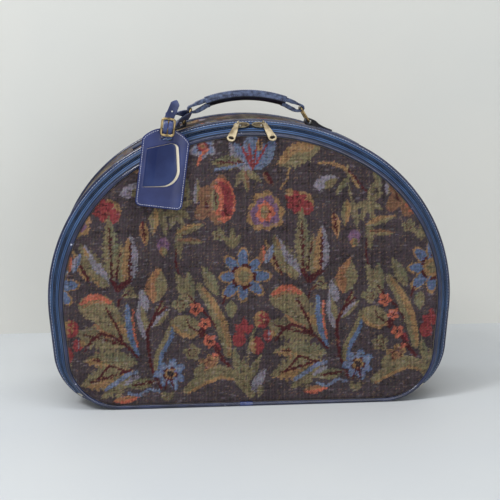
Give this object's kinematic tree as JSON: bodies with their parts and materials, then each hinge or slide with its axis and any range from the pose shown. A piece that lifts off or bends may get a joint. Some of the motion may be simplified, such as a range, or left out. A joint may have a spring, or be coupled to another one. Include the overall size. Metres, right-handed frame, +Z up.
{
  "type": "makeup train case",
  "caption": "Arched soft-sided makeup train case with a zip-open front panel, piped edges, a carrying handle on rings and a buckled luggage tag.",
  "frame": {"origin": "on the table under the middle of the case, half way between its front and back", "axes": "+X right seen from the front, +Y to the back, +Z up"},
  "size_m": [0.4592, 0.1786, 0.3548],
  "materials": {
    "tapestry": "woven floral tapestry",
    "board": "plain",
    "lining": "smooth woven",
    "piping": "shiny vinyl",
    "sleeve": "shiny vinyl",
    "band": "vinyl",
    "zip_tape": "ribbed woven tape",
    "zip_coil": "nylon coil",
    "zip_metal": "nickel, slightly warm",
    "stop_metal": "aged",
    "handle_leather": "grained, navy",
    "ring_metal": "antique",
    "tag_leather": "smooth, navy",
    "card": "cream",
    "base_cloth": "plain"
  },
  "bodies": {
    "body": {"gusset_cover": "tapestry", "gusset_board": "board", "gusset_lining": "lining", "back_cover": "tapestry", "back_board": "board", "back_lining": "lining", "back_piping": "piping", "body_piping": "piping", "base_pad": "base_cloth", "body_rim": "band", "body_zip_tape": "zip_tape", "hinge_band": "band", "body_coil": "zip_coil", "zip_end_stops": "stop_metal", "chape_left": "handle_leather", "chape_right": "handle_leather", "crest_strap_left": "handle_leather", "crest_strap_right": "handle_leather"},
    "lid": {"lid_cover": "tapestry", "lid_board": "board", "lid_lining": "lining", "lid_piping": "piping", "piping_sleeve": "sleeve", "lid_rim": "band", "lid_zip_tape": "zip_tape", "lid_coil": "zip_coil"},
    "slider_left": {"slider_left": "zip_metal"},
    "slider_right": {"slider_right": "zip_metal"},
    "pull_left": {"pull_left": "zip_metal"},
    "pull_right": {"pull_right": "zip_metal"},
    "ring_left": {"ring_left": "ring_metal", "tag_strap": "tag_leather", "tag_buckle": "ring_metal"},
    "ring_right": {"ring_right": "ring_metal"},
    "handle": {"handle_core": "handle_leather", "handle_grip": "handle_leather", "handle_strip": "handle_leather", "handle_loop_left": "handle_leather", "handle_loop_right": "handle_leather"},
    "tag": {"tag_back": "tag_leather", "tag_front": "tag_leather", "tag_card": "card"},
    "tag_flap": {"tag_flap": "tag_leather"},
    "tag_prong": {"tag_prong": "ring_metal"}
  },
  "joints": [
    {"name": "lid_hinge", "type": "hinge", "parent": "body", "child": "lid", "pos_m": [0, -0.08055, 0.00245], "axis": [1, 0, 0], "range_deg": [0, 88]},
    {"name": "slider_left_travel", "type": "hinge", "parent": "lid", "child": "slider_left", "pos_m": [0, -0.07105, 0.06], "axis": [0, -1, 0], "range_deg": [0, 6]},
    {"name": "slider_right_travel", "type": "hinge", "parent": "lid", "child": "slider_right", "pos_m": [0, -0.07105, 0.06], "axis": [0, 1, 0], "range_deg": [0, 26]},
    {"name": "pull_left_swing", "type": "hinge", "parent": "slider_left", "child": "pull_left", "pos_m": [-0.01418, -0.07453, 0.32097], "axis": [-0.9251, 0.2593, 0.2775], "range_deg": [0, 110]},
    {"name": "pull_right_swing", "type": "hinge", "parent": "slider_right", "child": "pull_right", "pos_m": [0.01418, -0.07453, 0.32097], "axis": [-0.9251, -0.2593, -0.2775], "range_deg": [0, 110]},
    {"name": "handle_rock", "type": "hinge", "parent": "body", "child": "ring_left", "pos_m": [-0.073, 0, 0.3172], "axis": [0, 1, 0], "range_deg": [-8, 8]},
    {"name": "handle_on_ring", "type": "hinge", "parent": "ring_left", "child": "handle", "pos_m": [-0.0635, 0, 0.33319], "axis": [0, 1, 0], "range_deg": [-9.4, 9.4]},
    {"name": "ring_right_rock", "type": "hinge", "parent": "body", "child": "ring_right", "pos_m": [0.073, 0, 0.3172], "axis": [0, 1, 0], "range_deg": [-8, 8]},
    {"name": "tag_swing", "type": "hinge", "parent": "ring_left", "child": "tag", "pos_m": [-0.093, -0.0869, 0.3077], "axis": [-0.9907, 0, 0.1357], "range_deg": [0, 40]},
    {"name": "tag_flap_open", "type": "hinge", "parent": "tag", "child": "tag_flap", "pos_m": [-0.11672, -0.08925, 0.27824], "axis": [-0.1357, 0, -0.9907], "range_deg": [0, 110]},
    {"name": "buckle_prong_lift", "type": "hinge", "parent": "ring_left", "child": "tag_prong", "pos_m": [-0.09029, -0.0933, 0.32701], "axis": [-0.9903, 0, 0.1392], "range_deg": [0, 30]}
  ],
  "couplings": [
    {"joint": "handle_on_ring", "follows": "handle_rock", "ratio": -1.1495},
    {"joint": "ring_right_rock", "follows": "handle_rock", "ratio": 1}
  ]
}
